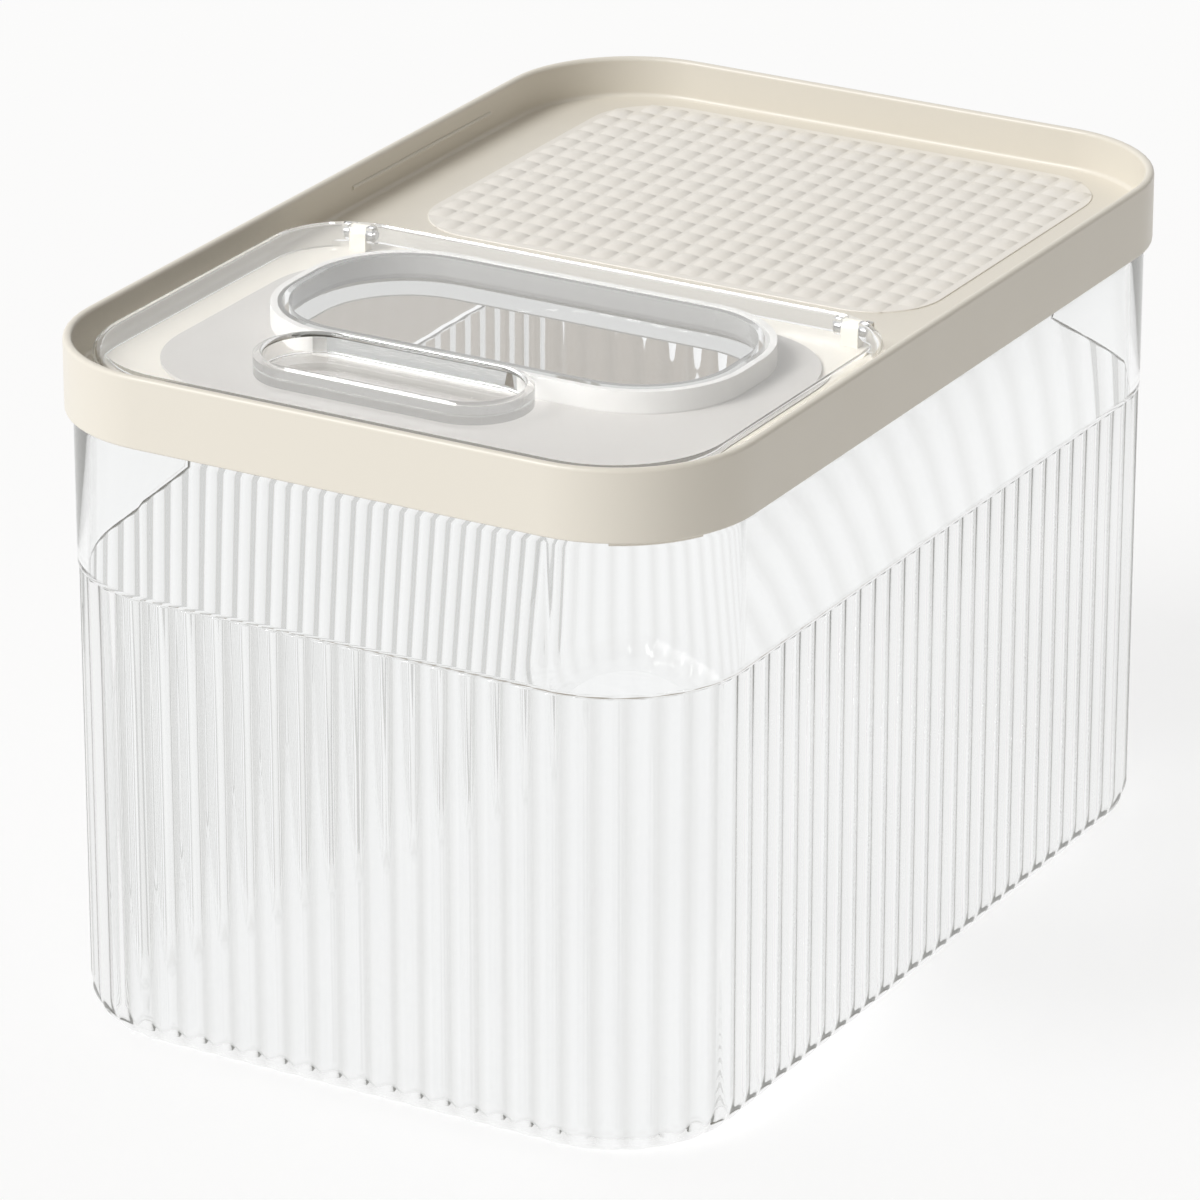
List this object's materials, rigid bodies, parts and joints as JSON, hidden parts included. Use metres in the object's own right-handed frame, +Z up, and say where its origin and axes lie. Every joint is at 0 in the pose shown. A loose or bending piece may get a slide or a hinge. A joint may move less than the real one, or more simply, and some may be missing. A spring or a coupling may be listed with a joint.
{
  "type": "pet food storage container",
  "caption": "Clear fluted tub with a lift-off raised-rim lid, a hinged clear pouring hatch and a textured mat.",
  "frame": {"origin": "middle of the footprint, on the surface the tub stands on", "axes": "+Z up, +X to the right, +Y away from the hatch side along the longer side"},
  "size_m": [0.24, 0.36, 0.232],
  "materials": {
    "clear_tub": "clear moulded plastic, glossy",
    "cream_plastic": "satin moulded plastic, cream",
    "seal": "soft silicone, warm grey",
    "mat": "soft textured plastic, cream",
    "clear_hatch": "clear moulded plastic, glossy",
    "pin_steel": "drawn steel wire"
  },
  "bodies": {
    "tub": {"tub": "clear_tub"},
    "lid": {"lid": "cream_plastic", "lid_seal": "seal", "grip_mat": "mat", "hatch_seal": "seal"},
    "hatch": {"hatch": "clear_hatch", "hinge_pin_left": "pin_steel", "hinge_pin_right": "pin_steel"}
  },
  "joints": [
    {"name": "lid_lift", "type": "slide", "parent": "tub", "child": "lid", "axis": [0, 0, 1], "range_m": [0, 0.12]},
    {"name": "hatch_hinge", "type": "hinge", "parent": "lid", "child": "hatch", "pos_m": [0, -0.0145, 0.2236], "axis": [-1, 0, 0], "range_deg": [0, 105]}
  ]
}
